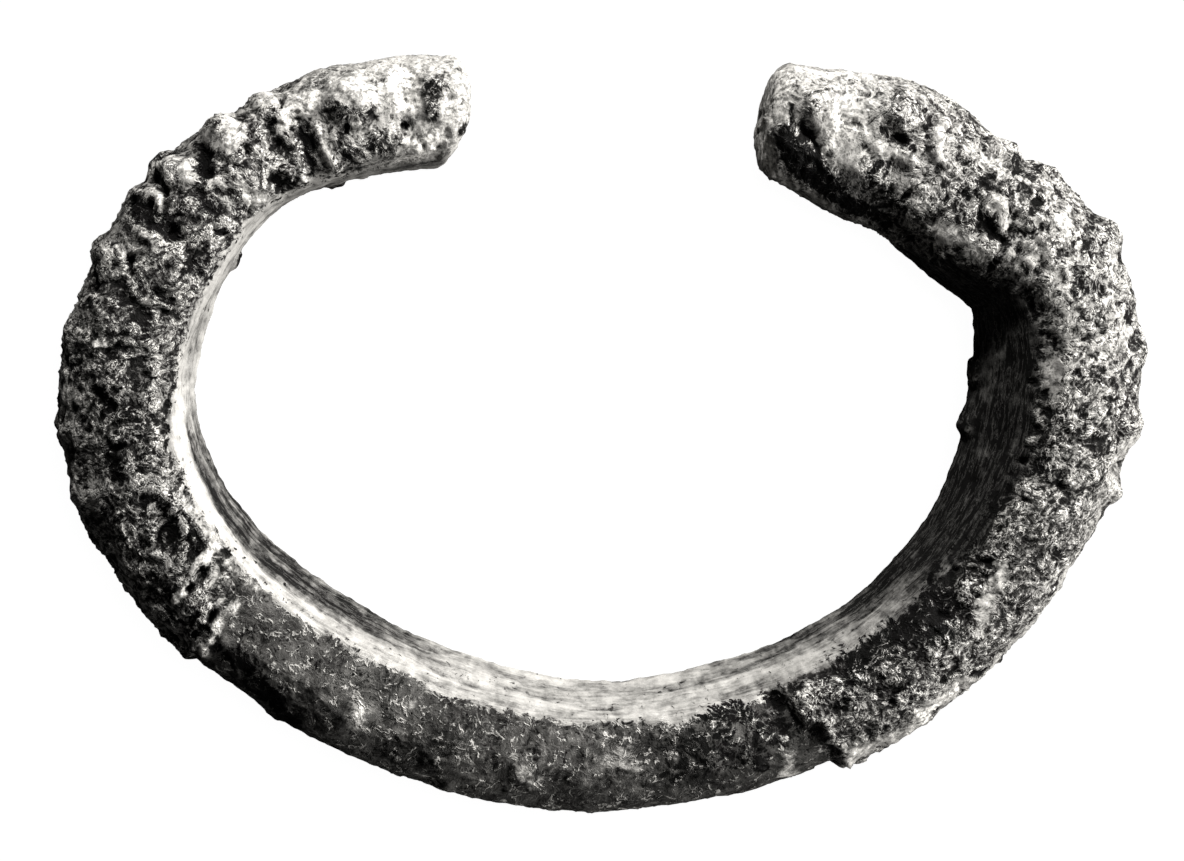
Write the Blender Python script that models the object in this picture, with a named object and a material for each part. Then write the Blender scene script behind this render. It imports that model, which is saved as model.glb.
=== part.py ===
# An ancient open bracelet of forged iron, lying flat, in metres and +Z up.
# One heavy bar is bent into an oval hoop whose ends are worn animal heads that face each other across a gap.
# The bar is a loft: rings of points round the bar's section, set square to the hoop's midline.
# A place on the bar is its distance from the left head's muzzle and its share across, -1 inner to +1 outer.

from collections import namedtuple
from itertools import product
from math import cos, radians, sin, tau

import bmesh
import bpy
import numpy as np

MM = 0.001

# Hoop: two half ovals that share their widest line.
HOOP_HALF_WIDTH = 0.0368
HOOP_FRONT_REACH = 0.0288
HOOP_BACK_REACH = 0.0237
LEFT_MUZZLE_ANGLE = 253.7
RIGHT_MUZZLE_ANGLE = -68.0

# Bar: its height and width in the middle of each stretch, without the crust.
LEFT_BAR_HEIGHT = 0.0094
FRONT_BAR_HEIGHT = 0.0094
RIGHT_BAR_HEIGHT = 0.0102
HEAD_HEIGHT = 0.0084
LEFT_BAR_WIDTH = 0.0102
FRONT_BAR_WIDTH = 0.0105
RIGHT_BAR_WIDTH = 0.0118
LEFT_HEAD_WIDTH = 0.0088
RIGHT_HEAD_WIDTH = 0.0122
RIGHT_MUZZLE_WIDTH = 0.0092
LEFT_SECTION_POWER = 3.1
RIGHT_SECTION_POWER = 2.2
LEFT_MUZZLE_POWER = 2.9
RIGHT_MUZZLE_POWER = 2.3
INNER_FACE_POWER = 1.35
LEFT_LEAN = 0.07
FRONT_LEAN = 0.13
RIGHT_LEAN = -0.15
MUZZLE_ROUNDING = 0.0015
CHIN_SET_BACK = 0.0014

# Rust crust: it covers the bar but for its sloping inner face, and has come off the front stretch.
LEFT_CRUST = 0.0005
RIGHT_CRUST = 0.0009
CRUST_EDGE_LENGTH = 0.0009
CRUST_BREAK_DEPTH = 0.0010
STRIPPED_FROM = 0.0563
STRIPPED_TO = 0.1056
BREAK_SLANT = 0.0016

# Heads: the eye's boss, the nostril's boss, the mouth and the jaw on both faces of the bar.
LEFT_HEAD_LENGTH = 0.0112
RIGHT_HEAD_LENGTH = 0.0122
BOSS_RELIEF = 0.0009
COLLAR_DEPTH = 0.0006

# Crest: a row of lumps along the outer edge behind each head, as millimetres from its muzzle and radii.
CREST_RELIEF = 0.0008
LEFT_CREST = [
    (14.9, 1.7), (18.2, 2.0), (22.5, 2.1), (25.2, 1.9), (29.4, 2.1), (35.0, 2.1), (41.0, 2.2), (45.2, 2.4),
]
RIGHT_CREST = [(17.4, 1.9), (21.8, 2.3), (25.9, 2.4), (32.0, 2.7), (37.2, 2.5), (41.4, 2.2)]

# The underside is worn to a flat, so the bracelet lies still.
RESTING_FLAT_DEPTH = 0.00025
HEAD_LIFT = 0.0004

# How finely the loft is divided.
POINTS_ROUND = 32
HEAD_RING_SPACING = 0.00078
CREST_RING_SPACING = 0.00145
BAR_RING_SPACING = 0.0022
FINE_LENGTH = 0.018
CREST_LENGTH = 0.042
NEAR_BREAK = 0.0025
MUZZLE_RINGS = 3


def blended(places, values, at):
    """A smooth curve through values at places, flat beyond its ends."""
    places, values = np.array(places, float), np.array(values, float)
    at = np.clip(np.asarray(at, float), places[0], places[-1])
    slope = np.gradient(values, places)
    low = np.clip(np.searchsorted(places, at) - 1, 0, len(places) - 2)
    step = places[low + 1] - places[low]
    q = (at - places[low]) / step
    return (
        values[low] * (1 + 2 * q) * (1 - q) ** 2
        + slope[low] * step * q * (1 - q) ** 2
        + values[low + 1] * q * q * (3 - 2 * q)
        + slope[low + 1] * step * q * q * (q - 1)
    )


def soft_step(value, start, end):
    q = np.clip((value - start) / (end - start), 0, 1)
    return q * q * (3 - 2 * q)


# How many millimetres the smith's bar strays outward from the true oval, by the angle round the hoop.
STRAYS = [
    (-68, -1.1), (-57, -0.8), (-46, -0.1), (-36, -0.5), (-20, 1.0), (-6, 0.3), (8, -0.3), (36, -0.3),
    (52, 0.1), (80, 0.3), (92, 0.3), (110, -0.5), (130, -1.0), (150, -0.5), (170, 0.0), (190, -0.3),
    (208, 0.2), (222, 0.9), (238, 0.4), (254, -1.4),
]


def hoop_midline(samples=4000):
    """The bar's midline, from the left muzzle round the front to the right one."""
    angle = np.linspace(LEFT_MUZZLE_ANGLE, RIGHT_MUZZLE_ANGLE, samples)
    turn = np.radians(angle)
    reach = np.where(np.sin(turn) > 0, HOOP_FRONT_REACH, HOOP_BACK_REACH)
    oval = np.stack([HOOP_HALF_WIDTH * np.cos(turn), -reach * np.sin(turn)], 1)
    out = np.stack([np.cos(turn) / HOOP_HALF_WIDTH, -np.sin(turn) / reach], 1)
    out /= np.linalg.norm(out, axis=1)[:, None]
    line = oval + out * blended(*zip(*STRAYS), angle)[:, None] * MM
    along = np.gradient(line, axis=0)
    along /= np.linalg.norm(along, axis=1)[:, None]
    distance = np.r_[0, np.cumsum(np.linalg.norm(np.diff(line, axis=0), axis=1))]
    outward = np.stack([along[:, 1], -along[:, 0]], 1)
    return line, outward, distance


LINE, OUTWARD, DISTANCE = hoop_midline()
BAR_LENGTH = DISTANCE[-1]


def from_right(distance):
    """A place measured from the right muzzle, as a distance from the left one."""
    return BAR_LENGTH - distance


def bar_width(at):
    front_middle = (STRIPPED_FROM + STRIPPED_TO) / 2
    left_neck_width = (LEFT_HEAD_WIDTH + LEFT_BAR_WIDTH) / 2
    stations = [
        (0, LEFT_HEAD_WIDTH),
        (LEFT_HEAD_LENGTH, 1.02 * LEFT_HEAD_WIDTH),
        (1.52 * LEFT_HEAD_LENGTH, 0.92 * LEFT_HEAD_WIDTH),
        (2.4 * LEFT_HEAD_LENGTH, 0.98 * left_neck_width),
        (3.3 * LEFT_HEAD_LENGTH, LEFT_BAR_WIDTH),
        (0.84 * STRIPPED_FROM, 1.05 * LEFT_BAR_WIDTH),
        (STRIPPED_FROM, 1.05 * LEFT_BAR_WIDTH),
        (1.25 * STRIPPED_FROM, 1.04 * FRONT_BAR_WIDTH),
        (front_middle, FRONT_BAR_WIDTH),
        (STRIPPED_TO, 1.01 * FRONT_BAR_WIDTH),
        (1.06 * STRIPPED_TO, 0.91 * RIGHT_BAR_WIDTH),
        (1.21 * STRIPPED_TO, 0.97 * RIGHT_BAR_WIDTH),
        (from_right(3.0 * RIGHT_HEAD_LENGTH), 1.10 * RIGHT_BAR_WIDTH),
        (from_right(2.0 * RIGHT_HEAD_LENGTH), RIGHT_BAR_WIDTH),
        (from_right(1.5 * RIGHT_HEAD_LENGTH), 0.95 * RIGHT_BAR_WIDTH),
        (from_right(0.74 * RIGHT_HEAD_LENGTH), RIGHT_HEAD_WIDTH),
        (from_right(0.29 * RIGHT_HEAD_LENGTH), 1.1 * RIGHT_MUZZLE_WIDTH),
        (BAR_LENGTH, RIGHT_MUZZLE_WIDTH),
    ]
    return blended(*zip(*stations), at)


def bar_height(at):
    stations = [
        (0, HEAD_HEIGHT),
        (LEFT_HEAD_LENGTH, HEAD_HEIGHT),
        (2.7 * LEFT_HEAD_LENGTH, LEFT_BAR_HEIGHT),
        (4.1 * LEFT_HEAD_LENGTH, LEFT_BAR_HEIGHT),
        ((STRIPPED_FROM + STRIPPED_TO) / 2, FRONT_BAR_HEIGHT),
        (from_right(3.1 * RIGHT_HEAD_LENGTH), RIGHT_BAR_HEIGHT),
        (from_right(1.8 * RIGHT_HEAD_LENGTH), RIGHT_BAR_HEIGHT),
        (from_right(RIGHT_HEAD_LENGTH), 1.06 * HEAD_HEIGHT),
        (BAR_LENGTH, HEAD_HEIGHT),
    ]
    return blended(*zip(*stations), at)


def squareness(at):
    """The section's superellipse power: the left bar is flat on top, and the right one nearly round."""
    stations = [
        (0, LEFT_MUZZLE_POWER),
        (1.5 * LEFT_HEAD_LENGTH, LEFT_SECTION_POWER),
        (STRIPPED_FROM, LEFT_SECTION_POWER),
        (STRIPPED_TO, RIGHT_SECTION_POWER),
        (from_right(RIGHT_HEAD_LENGTH), RIGHT_SECTION_POWER),
        (BAR_LENGTH, RIGHT_MUZZLE_POWER),
    ]
    return blended(*zip(*stations), at)


def rim_share(at):
    """Where the upper face meets the sloping inner face, as a share across. The right head has none."""
    stations = [
        (0.4 * LEFT_HEAD_LENGTH, -0.70),
        (1.8 * LEFT_HEAD_LENGTH, -0.72),
        (3.6 * LEFT_HEAD_LENGTH, -0.57),
        (STRIPPED_FROM, -0.45),
        (0.83 * STRIPPED_TO, -0.43),
        (1.1 * STRIPPED_TO, -0.47),
        (from_right(3.0 * RIGHT_HEAD_LENGTH), -0.32),
        (from_right(2.5 * RIGHT_HEAD_LENGTH), -0.34),
        (from_right(2.0 * RIGHT_HEAD_LENGTH), -0.52),
        (from_right(1.5 * RIGHT_HEAD_LENGTH), -0.80),
        (from_right(1.1 * RIGHT_HEAD_LENGTH), -0.97),
    ]
    return blended(*zip(*stations), at)


def face_lean(at):
    """How much thinner the bar is at its outer edge than in its middle, as a share of its height."""
    stations = [
        (0.7 * LEFT_HEAD_LENGTH, 0.0),
        (2.4 * LEFT_HEAD_LENGTH, LEFT_LEAN),
        (STRIPPED_FROM, FRONT_LEAN),
        (0.9 * STRIPPED_TO, FRONT_LEAN),
        (1.1 * STRIPPED_TO, RIGHT_LEAN),
        (from_right(3.0 * RIGHT_HEAD_LENGTH), RIGHT_LEAN),
        (from_right(2.0 * RIGHT_HEAD_LENGTH), 0.0),
    ]
    return blended(*zip(*stations), at)


def sloped_inside(at, across, up):
    """The section's height once the inner face is drawn in, from the rim to the bar's inmost line."""
    rim = rim_share(at)
    rim_height = (1 - abs(rim) ** squareness(at)) ** (1 / squareness(at))
    inward = np.clip((rim - across) / (1 + rim), 0, 1)
    return np.sign(up) * np.minimum(np.abs(up), rim_height * (1 - inward ** INNER_FACE_POWER))


def crust_thickness(at, across):
    at = at - BREAK_SLANT * across
    left = LEFT_CRUST * (1 - soft_step(at, STRIPPED_FROM - CRUST_EDGE_LENGTH, STRIPPED_FROM))
    right = RIGHT_CRUST * soft_step(at, STRIPPED_TO, STRIPPED_TO + CRUST_EDGE_LENGTH)
    near_end = np.minimum(at, BAR_LENGTH - at)
    return (left + right) * soft_step(near_end, 0.7 * LEFT_HEAD_LENGTH, 2 * RIGHT_HEAD_LENGTH)


def bar_points(at, turn, scale=1.0):
    """Surface points of the plain bar. Turn 0 is outward, a quarter turn is up and a half turn is inward."""
    at, turn = np.broadcast_arrays(np.asarray(at, float), np.asarray(turn, float))
    power = 2 / squareness(at)
    across = np.sign(np.cos(turn)) * np.abs(np.cos(turn)) ** power
    up = np.sign(np.sin(turn)) * np.abs(np.sin(turn)) ** power
    up = np.where(across < rim_share(at), sloped_inside(at, across, up), up)
    up = up * (1 - face_lean(at) * across)
    near_end = np.minimum(at, BAR_LENGTH - at)
    on_muzzle = 1 - soft_step(near_end, 0, LEFT_HEAD_LENGTH / 2)
    set_back = CHIN_SET_BACK * np.clip(-across, 0, 1) ** 2 * on_muzzle
    place = at + np.where(at < BAR_LENGTH / 2, 1, -0.3) * set_back
    middle = np.stack([np.interp(place, DISTANCE, LINE[:, axis]) for axis in (0, 1)], -1)
    outward = np.stack([np.interp(place, DISTANCE, OUTWARD[:, axis]) for axis in (0, 1)], -1)
    on_head = 1 - soft_step(near_end, LEFT_HEAD_LENGTH / 2, 1.8 * LEFT_HEAD_LENGTH)
    lift = HEAD_LIFT * on_head - RESTING_FLAT_DEPTH
    half_height = bar_height(at) / 2
    flat = middle + outward * (scale * across * bar_width(at) / 2)[..., None]
    height = lift + half_height + scale * up * half_height
    return np.concatenate([flat, height[..., None]], -1), across, up


def point_on_face(at, share, side):
    """A point on the bar's upper face (side 1) or underside (side -1)."""
    power = squareness(at)
    turn = np.arctan2((1 - abs(share) ** power) ** 0.5, np.sign(share) * abs(share) ** (power / 2))
    return bar_points(at, side * turn)[0]


# A form is a boss, or a groove where its relief is negative. It runs from one place and share to another.
Form = namedtuple("Form", "start_at start_share end_at end_share radius relief")


def left_head_forms():
    """Eye, nostril, the dip between them, jaw, and the collar and grooves that part the head from the neck."""
    eye, nostril, dip, jaw = (share * LEFT_HEAD_LENGTH for share in (0.83, 0.26, 0.46, 0.62))
    collar, groove, nape, notch = (share * LEFT_HEAD_LENGTH for share in (1.05, 1.19, 1.37, 1.46))
    wide, narrow = 0.215 * LEFT_HEAD_LENGTH, 0.10 * LEFT_HEAD_LENGTH
    slant = 0.05 * LEFT_HEAD_LENGTH
    return [
        Form(eye - slant, 0.40, eye, 0.40, wide, 1.2 * BOSS_RELIEF),
        Form(nostril, 0.10, nostril, 0.50, 0.6 * wide, 0.5 * BOSS_RELIEF),
        Form(dip, 0.90, dip, 0.30, 0.6 * wide, -0.3 * BOSS_RELIEF),
        Form(jaw, -0.45, eye, -0.45, 0.8 * wide, 0.4 * BOSS_RELIEF),
        Form(collar, -0.70, collar + slant, 0.10, 0.8 * narrow, 0.4 * COLLAR_DEPTH),
        Form(groove, -0.65, groove, 0.30, 1.1 * narrow, -0.8 * COLLAR_DEPTH),
        Form(nape, -0.05, nape, 0.55, 0.8 * narrow, -0.5 * COLLAR_DEPTH),
        Form(notch, -0.75, notch + slant, -0.40, 0.8 * narrow, -0.8 * COLLAR_DEPTH),
    ]


def right_head_forms():
    """Nostril, the dip behind it, mouth, the eye's slot under a big rounded ear, cheek ridges and jaw."""
    nostril, mouth, dip, jaw = (from_right(share * RIGHT_HEAD_LENGTH) for share in (0.25, 0.23, 0.48, 0.75))
    eye, ear, nape = (from_right(share * RIGHT_HEAD_LENGTH) for share in (0.74, 0.78, 1.03))
    wide, narrow = 0.2 * RIGHT_HEAD_LENGTH, 0.08 * RIGHT_HEAD_LENGTH
    slant = 0.05 * RIGHT_HEAD_LENGTH
    return [
        Form(nostril, 0.36, nostril, 0.46, 0.9 * wide, 0.7 * BOSS_RELIEF),
        Form(dip, 0.25, dip, 0.85, 0.6 * wide, -0.3 * BOSS_RELIEF),
        Form(mouth, 0.02, mouth - 2 * slant, -0.20, narrow, -0.5 * BOSS_RELIEF),
        Form(eye, 0.36, eye - 2 * slant, 0.20, narrow, -0.4 * BOSS_RELIEF),
        Form(ear, 0.50, ear - slant, 0.60, wide, 0.8 * BOSS_RELIEF),
        Form(eye, 0.02, eye - 4 * slant, 0.03, 0.8 * narrow, 0.4 * BOSS_RELIEF),
        Form(nape, 0.65, nape - slant, 0.28, 0.9 * narrow, 0.5 * BOSS_RELIEF),
        Form(jaw, -0.30, jaw + slant, -0.30, 0.8 * wide, 0.5 * BOSS_RELIEF),
    ]


def crest_forms(lumps):
    """Lumps in a row along the bar's outer edge, from their places and radii in millimetres."""
    return [Form(at * MM, 0.93, at * MM, 0.93, radius * MM, CREST_RELIEF) for at, radius in lumps]


def crust_break_form():
    """The deep notch where the right bar's crust breaks off, across all but the inner side."""
    notch = STRIPPED_TO - CRUST_BREAK_DEPTH
    start, end = -0.35, 0.98
    slanted = [notch + BREAK_SLANT * share for share in (start, end)]
    return Form(slanted[0], start, slanted[1], end, 1.5 * CRUST_BREAK_DEPTH, -CRUST_BREAK_DEPTH)


def relief(points, forms):
    """How far each surface point stands out, from the forms near it on either face."""
    total = np.zeros(points.shape[:-1])
    for form, side in product(forms, (1, -1)):
        start = point_on_face(form.start_at, form.start_share, side)
        end = point_on_face(form.end_at, form.end_share, side)
        run = end - start
        share = np.clip(((points - start) @ run) / max(run @ run, 1e-12), 0, 1)
        gap = np.linalg.norm(points - start - share[..., None] * run, axis=-1)
        total += form.relief * np.clip(1 - (gap / form.radius) ** 2, 0, None) ** 2
    return total


def ring_places():
    """Distances along the bar, closest together on the heads and wider apart on the plain bar."""
    places = [MUZZLE_ROUNDING]
    while places[-1] < BAR_LENGTH - MUZZLE_ROUNDING:
        near_end = min(places[-1], BAR_LENGTH - places[-1])
        near_break = min(abs(places[-1] - STRIPPED_FROM), abs(places[-1] - STRIPPED_TO))
        if near_end < FINE_LENGTH or near_break < NEAR_BREAK:
            spacing = HEAD_RING_SPACING
        elif near_end < CREST_LENGTH:
            spacing = CREST_RING_SPACING
        else:
            spacing = BAR_RING_SPACING
        places.append(places[-1] + spacing)
    places[-1] = BAR_LENGTH - MUZZLE_ROUNDING
    return np.array(places)


def muzzle_rings():
    """The rings of one end, from its rim to near the middle of its flat: distance from the end, and inset."""
    corner = [radians(90) * step / MUZZLE_RINGS for step in range(1, MUZZLE_RINGS + 1)]
    rounded = [(MUZZLE_ROUNDING * (1 - sin(a)), MUZZLE_ROUNDING * (1 - cos(a))) for a in corner]
    return rounded + [(0, 2 * MUZZLE_ROUNDING)]


def bar_rings():
    """Every ring from the left muzzle to the right one, as a distance along the bar and a scale."""
    half = min(LEFT_HEAD_WIDTH, RIGHT_MUZZLE_WIDTH) / 2
    ends = [(distance, 1 - inset / half) for distance, inset in muzzle_rings()]
    left = [(distance, scale) for distance, scale in reversed(ends)]
    middle = [(at, 1.0) for at in ring_places()]
    right = [(BAR_LENGTH - distance, scale) for distance, scale in ends]
    return left + middle + right


def grid_normals(points):
    """Outward normals of a grid of rings."""
    along = np.gradient(points, axis=0)
    around = np.roll(points, -1, axis=1) - np.roll(points, 1, axis=1)
    normals = np.cross(along, around)
    return normals / np.maximum(np.linalg.norm(normals, axis=-1), 1e-12)[..., None]


def carved_grid():
    rings = bar_rings()
    at = np.array([place for place, scale in rings])[:, None]
    scale = np.array([scale for place, scale in rings])[:, None]
    turn = np.arange(POINTS_ROUND)[None, :] * tau / POINTS_ROUND
    points, across, up = bar_points(at, turn, scale)
    crust = crust_thickness(at, across) * soft_step(across, rim_share(at) - 0.05, rim_share(at) + 0.35)
    forms = left_head_forms() + right_head_forms() + crest_forms(LEFT_CREST) + [crust_break_form()]
    forms += crest_forms([(BAR_LENGTH / MM - at, radius) for at, radius in RIGHT_CREST])
    points = points + grid_normals(points) * (crust + relief(points, forms))[..., None]
    points[..., 2] = np.maximum(points[..., 2], 0)
    return points


def build_bracelet(collection):
    grid = carved_grid()
    centre = (grid[..., :2].max(axis=(0, 1)) + grid[..., :2].min(axis=(0, 1))) / 2
    grid[..., :2] -= centre
    mesh_maker = bmesh.new()
    rings = [[mesh_maker.verts.new(point) for point in ring] for ring in grid]
    for ring, following in zip(rings, rings[1:]):
        for i in range(POINTS_ROUND):
            j = (i + 1) % POINTS_ROUND
            mesh_maker.faces.new((ring[i], ring[j], following[j], following[i]))
    for ring in (rings[0], rings[-1]):
        middle = mesh_maker.verts.new(sum((v.co for v in ring), ring[0].co * 0) / POINTS_ROUND)
        for i in range(POINTS_ROUND):
            mesh_maker.faces.new((ring[i], ring[(i + 1) % POINTS_ROUND], middle))
    bmesh.ops.recalc_face_normals(mesh_maker, faces=mesh_maker.faces)
    bmesh.ops.triangulate(mesh_maker, faces=mesh_maker.faces)
    mesh = bpy.data.meshes.new("bracelet")
    mesh_maker.to_mesh(mesh)
    mesh_maker.free()
    mesh.shade_smooth()
    bracelet = bpy.data.objects.new("bracelet", mesh)
    collection.objects.link(bracelet)
    return bracelet


def rusted_iron():
    material = bpy.data.materials.new("rusted_iron")
    material.use_nodes = True
    shader = material.node_tree.nodes["Principled BSDF"]
    shader.inputs["Base Color"].default_value = (0.050, 0.048, 0.044, 1)
    shader.inputs["Roughness"].default_value = 0.62
    shader.inputs["Metallic"].default_value = 0.35
    return material


def main():
    for old in list(bpy.data.objects):
        bpy.data.objects.remove(old)
    collection = bpy.data.collections.new("open_bracelet")
    bpy.context.scene.collection.children.link(collection)
    bracelet = build_bracelet(collection)
    bracelet.data.materials.append(rusted_iron())


main()
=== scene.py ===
# An ancient open bracelet of forged iron, lying on a pale floor.
# Its form is the solid's own, and this script adds the rust: crust, flakes, pits, streaks and worn heads, and
# paints some light and shade into its colour.
import math

import bpy
import numpy as np
from mathutils import Matrix, Vector


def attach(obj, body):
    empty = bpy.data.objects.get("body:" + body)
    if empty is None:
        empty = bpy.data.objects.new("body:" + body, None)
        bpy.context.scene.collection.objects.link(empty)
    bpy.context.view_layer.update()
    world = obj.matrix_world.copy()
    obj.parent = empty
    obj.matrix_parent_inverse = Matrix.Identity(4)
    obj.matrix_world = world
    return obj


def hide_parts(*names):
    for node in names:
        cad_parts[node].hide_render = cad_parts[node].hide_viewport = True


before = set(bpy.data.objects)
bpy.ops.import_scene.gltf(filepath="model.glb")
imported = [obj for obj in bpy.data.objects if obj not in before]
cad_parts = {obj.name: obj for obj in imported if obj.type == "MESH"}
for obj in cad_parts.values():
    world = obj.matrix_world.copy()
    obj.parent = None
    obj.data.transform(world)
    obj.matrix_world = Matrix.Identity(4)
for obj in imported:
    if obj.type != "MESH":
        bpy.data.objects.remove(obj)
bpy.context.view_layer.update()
mm = 0.001

# The hoop, as the solid has it. Lengths are millimetres, and angles run clockwise from the right.
hoop = {
    "halfWidth": 36.8,
    "frontReach": 28.8,
    "backReach": 23.7,
    "leftMuzzleAngle": 253.7,
    "rightMuzzleAngle": -68.0,
    # how far the bar strays outward from the true oval, by angle
    "strays": [
        (-68, -1.1), (-57, -0.8), (-46, -0.1), (-36, -0.5), (-20, 1.0), (-6, 0.3), (8, -0.3), (36, -0.3),
        (52, 0.1), (80, 0.3), (92, 0.3), (110, -0.5), (130, -1.0), (150, -0.5), (170, 0.0), (190, -0.3),
        (208, 0.2), (222, 0.9), (238, 0.4), (254, -1.4),
    ],
}


def smoothCurve(stations, at):
    # a smooth curve through (place, value) pairs, flat beyond both ends
    places, values = np.array(stations, float).T
    at = np.clip(np.asarray(at, float), places[0], places[-1])
    slope = np.gradient(values, places)
    low = np.clip(np.searchsorted(places, at) - 1, 0, len(places) - 2)
    step = places[low + 1] - places[low]
    q = (at - places[low]) / step
    return (
        values[low] * (1 + 2 * q) * (1 - q) ** 2
        + slope[low] * step * q * (1 - q) ** 2
        + values[low + 1] * q * q * (3 - 2 * q)
        + slope[low + 1] * step * q * q * (q - 1)
    )


def softStep(value, start, end):
    q = np.clip((value - start) / (end - start), 0, 1)
    return q * q * (3 - 2 * q)


def hoopMidline(samples=4000):
    angle = np.linspace(hoop["leftMuzzleAngle"], hoop["rightMuzzleAngle"], samples)
    turn = np.radians(angle)
    reach = np.where(np.sin(turn) > 0, hoop["frontReach"], hoop["backReach"])
    oval = np.stack([hoop["halfWidth"] * np.cos(turn), -reach * np.sin(turn)], 1)
    out = np.stack([np.cos(turn) / hoop["halfWidth"], -np.sin(turn) / reach], 1)
    out /= np.linalg.norm(out, axis=1)[:, None]
    line = oval + out * smoothCurve(hoop["strays"], angle)[:, None]
    along = np.gradient(line, axis=0)
    along /= np.linalg.norm(along, axis=1)[:, None]
    distance = np.r_[0, np.cumsum(np.linalg.norm(np.diff(line, axis=0), axis=1))]
    return line, np.stack([along[:, 1], -along[:, 0]], 1), distance


midline, outwardDirection, midlineDistance = hoopMidline()
barLength = midlineDistance[-1]


def fromRight(distance):
    return barLength - distance


# The bar, as the solid has it.
bar = {
    "leftHeadLength": 11.2,
    "rightHeadLength": 12.2,
    "leftHeadWidth": 8.8,
    "leftWidth": 10.2,
    "frontWidth": 10.5,
    "rightWidth": 11.8,
    "rightHeadWidth": 12.2,
    "rightMuzzleWidth": 9.2,
    "leftHeight": 9.4,
    "frontHeight": 9.4,
    "rightHeight": 10.2,
    "headHeight": 8.4,
    "leftSectionPower": 3.1,
    "rightSectionPower": 2.2,
    "leftMuzzlePower": 2.9,
    "rightMuzzlePower": 2.3,
    "innerFacePower": 1.35,
    "leftLean": 0.07,
    "frontLean": 0.13,
    "rightLean": -0.15,
    "muzzleRounding": 1.5,
    "chinSetBack": 1.4,
    "restingFlatDepth": 0.25,
    "headLift": 0.4,
    "leftCrust": 0.5,
    "rightCrust": 0.9,
    "strippedFrom": 56.3,
    "strippedTo": 105.6,
    "breakSlant": 1.6,
}


def barWidth(at):
    b = bar
    frontMiddle = (b["strippedFrom"] + b["strippedTo"]) / 2
    leftNeck = (b["leftHeadWidth"] + b["leftWidth"]) / 2
    left, right = b["leftHeadLength"], b["rightHeadLength"]
    stations = [
        (0, b["leftHeadWidth"]), (left, 1.02 * b["leftHeadWidth"]), (1.52 * left, 0.92 * b["leftHeadWidth"]),
        (2.4 * left, 0.98 * leftNeck), (3.3 * left, b["leftWidth"]),
        (0.84 * b["strippedFrom"], 1.05 * b["leftWidth"]), (b["strippedFrom"], 1.05 * b["leftWidth"]),
        (1.25 * b["strippedFrom"], 1.04 * b["frontWidth"]), (frontMiddle, b["frontWidth"]),
        (b["strippedTo"], 1.01 * b["frontWidth"]), (1.06 * b["strippedTo"], 0.91 * b["rightWidth"]),
        (1.21 * b["strippedTo"], 0.97 * b["rightWidth"]), (fromRight(3.0 * right), 1.10 * b["rightWidth"]),
        (fromRight(2.0 * right), b["rightWidth"]), (fromRight(1.5 * right), 0.95 * b["rightWidth"]),
        (fromRight(0.74 * right), b["rightHeadWidth"]),
        (fromRight(0.29 * right), 1.1 * b["rightMuzzleWidth"]), (barLength, b["rightMuzzleWidth"]),
    ]
    return smoothCurve(stations, at)


def barHeight(at):
    b = bar
    left, right = b["leftHeadLength"], b["rightHeadLength"]
    stations = [
        (0, b["headHeight"]), (left, b["headHeight"]),
        (2.7 * left, b["leftHeight"]), (4.1 * left, b["leftHeight"]),
        ((b["strippedFrom"] + b["strippedTo"]) / 2, b["frontHeight"]),
        (fromRight(3.1 * right), b["rightHeight"]), (fromRight(1.8 * right), b["rightHeight"]),
        (fromRight(right), 1.06 * b["headHeight"]), (barLength, b["headHeight"]),
    ]
    return smoothCurve(stations, at)


def fromNearEnd(at):
    return np.minimum(at, barLength - at)


def squareness(at):
    # the section's superellipse power: the left bar is flat on top, and the right one nearly round
    b = bar
    stations = [
        (0, b["leftMuzzlePower"]), (1.5 * b["leftHeadLength"], b["leftSectionPower"]),
        (b["strippedFrom"], b["leftSectionPower"]), (b["strippedTo"], b["rightSectionPower"]),
        (fromRight(b["rightHeadLength"]), b["rightSectionPower"]), (barLength, b["rightMuzzlePower"]),
    ]
    return smoothCurve(stations, at)


def rimShare(at):
    # where the upper face meets the sloping inner face
    left, right = bar["leftHeadLength"], bar["rightHeadLength"]
    stations = [
        (0.4 * left, -0.70), (1.8 * left, -0.72), (3.6 * left, -0.57), (bar["strippedFrom"], -0.45),
        (0.83 * bar["strippedTo"], -0.43), (1.1 * bar["strippedTo"], -0.47), (fromRight(3.0 * right), -0.32),
        (fromRight(2.5 * right), -0.34), (fromRight(2.0 * right), -0.52), (fromRight(1.5 * right), -0.80),
        (fromRight(1.1 * right), -0.97),
    ]
    return smoothCurve(stations, at)


def faceLean(at):
    # how much thinner the bar is at its outer edge, as a share of its height
    b = bar
    stations = [
        (0.7 * b["leftHeadLength"], 0.0), (2.4 * b["leftHeadLength"], b["leftLean"]),
        (b["strippedFrom"], b["frontLean"]), (0.9 * b["strippedTo"], b["frontLean"]),
        (1.1 * b["strippedTo"], b["rightLean"]), (fromRight(3.0 * b["rightHeadLength"]), b["rightLean"]),
        (fromRight(2.0 * b["rightHeadLength"]), 0.0),
    ]
    return smoothCurve(stations, at)


def slopedInside(at, across, up):
    rim = rimShare(at)
    rimHeight = (1 - abs(rim) ** squareness(at)) ** (1 / squareness(at))
    inward = np.clip((rim - across) / (1 + rim), 0, 1)
    return np.sign(up) * np.minimum(np.abs(up), rimHeight * (1 - inward ** bar["innerFacePower"]))


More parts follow.
